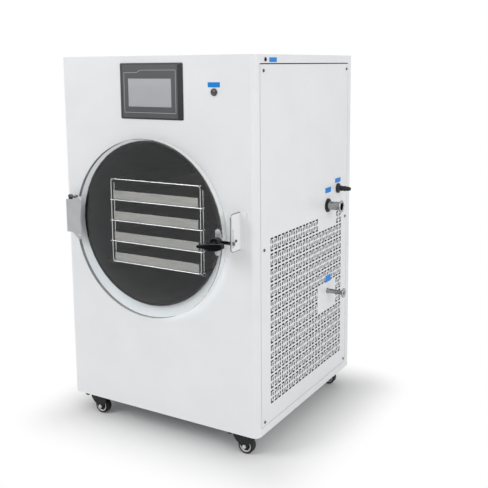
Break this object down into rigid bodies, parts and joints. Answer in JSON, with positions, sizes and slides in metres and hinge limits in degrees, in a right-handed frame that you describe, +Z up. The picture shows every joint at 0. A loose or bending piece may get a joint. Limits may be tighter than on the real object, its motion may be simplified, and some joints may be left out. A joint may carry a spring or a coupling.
{
  "type": "freeze dryer",
  "caption": "Floor-standing freeze dryer: white cabinet on casters, round vacuum chamber with wire rack and trays, clear hinged door with turning latch, touch panel and side ports.",
  "frame": {"origin": "middle of the underside of the bounding box, on the floor", "axes": "+Z up, -Y out of the front with the chamber door, +X towards the side with the ports"},
  "size_m": [0.76, 0.7462, 1.16],
  "materials": {
    "white_paint": "satin powder coat",
    "zinc_sheet": "plain zinc-plated sheet",
    "dark_liner": "dark satin coating",
    "steel": "brushed stainless steel",
    "machined_alloy": "fine bead-blasted alloy",
    "clear_acrylic": "polished clear acrylic",
    "black_rubber": "matte",
    "tyre_rubber": "matte black tread",
    "black_plastic": "semi-gloss moulded",
    "dark_plastic": "fine-textured dark grey",
    "screen_glass": "smooth display glass",
    "black_steel": "black semi-gloss coating",
    "copper": "drawn copper pipe",
    "foam": "cut insulation foam"
  },
  "bodies": {
    "cabinet": {"cabinet_shell": "white_paint", "side_panel_right": "white_paint", "side_panel_left": "white_paint", "rear_panel": "white_paint", "base_pan": "zinc_sheet", "chamber_shelf": "zinc_sheet", "vacuum_chamber": "dark_liner", "door_gasket": "black_rubber", "cold_coil": "copper", "insulation": "foam", "tray_rack": "steel", "tray_1": "steel", "tray_2": "steel", "tray_3": "steel", "tray_4": "steel", "hinge_base": "machined_alloy", "hinge_pin": "black_steel", "strike_bracket": "white_paint", "touch_panel": "dark_plastic", "touch_screen": "screen_glass", "key_switch_body": "steel", "control_box": "zinc_sheet", "vacuum_pipe": "steel", "vacuum_grommet": "black_rubber", "drain_pipe": "steel", "vent_nozzle": "black_plastic", "vent_pipe": "copper", "panel_socket": "black_plastic", "power_gland": "black_plastic", "compressor": "black_steel", "condenser": "machined_alloy", "fan_shroud": "zinc_sheet", "fan_motor": "zinc_sheet", "liquid_pipe": "copper", "suction_pipe": "copper", "discharge_pipe": "copper", "caster_plate_front_left": "black_steel", "caster_plate_front_right": "black_steel", "caster_plate_rear_left": "black_steel", "caster_plate_rear_right": "black_steel"},
    "door": {"door_disc": "clear_acrylic", "hinge_leaf": "machined_alloy", "latch_plate": "machined_alloy"},
    "latch": {"latch_shaft": "steel", "latch_lever": "black_plastic"},
    "key_plug": {"key_switch_plug": "steel"},
    "fan": {"condenser_fan": "black_plastic"},
    "fork_front_left": {"caster_fork_front_left": "black_steel"},
    "wheel_front_left": {"caster_wheel_front_left": "tyre_rubber"},
    "brake_front_left": {"brake_pedal_front_left": "black_steel"},
    "fork_front_right": {"caster_fork_front_right": "black_steel"},
    "wheel_front_right": {"caster_wheel_front_right": "tyre_rubber"},
    "brake_front_right": {"brake_pedal_front_right": "black_steel"},
    "fork_rear_left": {"caster_fork_rear_left": "black_steel"},
    "wheel_rear_left": {"caster_wheel_rear_left": "tyre_rubber"},
    "fork_rear_right": {"caster_fork_rear_right": "black_steel"},
    "wheel_rear_right": {"caster_wheel_rear_right": "tyre_rubber"}
  },
  "joints": [
    {"name": "door_hinge", "type": "hinge", "parent": "cabinet", "child": "door", "pos_m": [-0.341, -0.3209, 0.67], "axis": [0, 0, -1], "range_deg": [0, 110]},
    {"name": "latch_turn", "type": "hinge", "parent": "door", "child": "latch", "pos_m": [0.219, -0.345, 0.647], "axis": [0, -1, 0], "range_deg": [0, 60]},
    {"name": "key_turn", "type": "hinge", "parent": "cabinet", "child": "key_plug", "pos_m": [0.187, -0.2989, 1.058], "axis": [0, 1, 0], "range_deg": [0, 90]},
    {"name": "fan_spin", "type": "hinge", "parent": "cabinet", "child": "fan", "pos_m": [0.202, -0.0039, 0.1905], "axis": [1, 0, 0], "continuous": true},
    {"name": "swivel_front_left", "type": "hinge", "parent": "cabinet", "child": "fork_front_left", "pos_m": [-0.305, -0.2639, 0.054], "axis": [0, 0, 1], "continuous": true},
    {"name": "roll_front_left", "type": "hinge", "parent": "fork_front_left", "child": "wheel_front_left", "pos_m": [-0.287, -0.2639, 0.025], "axis": [0, 1, 0], "continuous": true},
    {"name": "brake_front_left", "type": "hinge", "parent": "fork_front_left", "child": "brake_front_left", "pos_m": [-0.314, -0.2639, 0.044], "axis": [0, -1, 0], "range_deg": [0, 20]},
    {"name": "swivel_front_right", "type": "hinge", "parent": "cabinet", "child": "fork_front_right", "pos_m": [0.245, -0.2639, 0.054], "axis": [0, 0, 1], "continuous": true},
    {"name": "roll_front_right", "type": "hinge", "parent": "fork_front_right", "child": "wheel_front_right", "pos_m": [0.263, -0.2639, 0.025], "axis": [0, 1, 0], "continuous": true},
    {"name": "brake_front_right", "type": "hinge", "parent": "fork_front_right", "child": "brake_front_right", "pos_m": [0.236, -0.2639, 0.044], "axis": [0, -1, 0], "range_deg": [0, 20]},
    {"name": "swivel_rear_left", "type": "hinge", "parent": "cabinet", "child": "fork_rear_left", "pos_m": [-0.305, 0.3161, 0.054], "axis": [0, 0, 1], "continuous": true},
    {"name": "roll_rear_left", "type": "hinge", "parent": "fork_rear_left", "child": "wheel_rear_left", "pos_m": [-0.287, 0.3161, 0.025], "axis": [0, 1, 0], "continuous": true},
    {"name": "swivel_rear_right", "type": "hinge", "parent": "cabinet", "child": "fork_rear_right", "pos_m": [0.245, 0.3161, 0.054], "axis": [0, 0, 1], "continuous": true},
    {"name": "roll_rear_right", "type": "hinge", "parent": "fork_rear_right", "child": "wheel_rear_right", "pos_m": [0.263, 0.3161, 0.025], "axis": [0, 1, 0], "continuous": true}
  ]
}
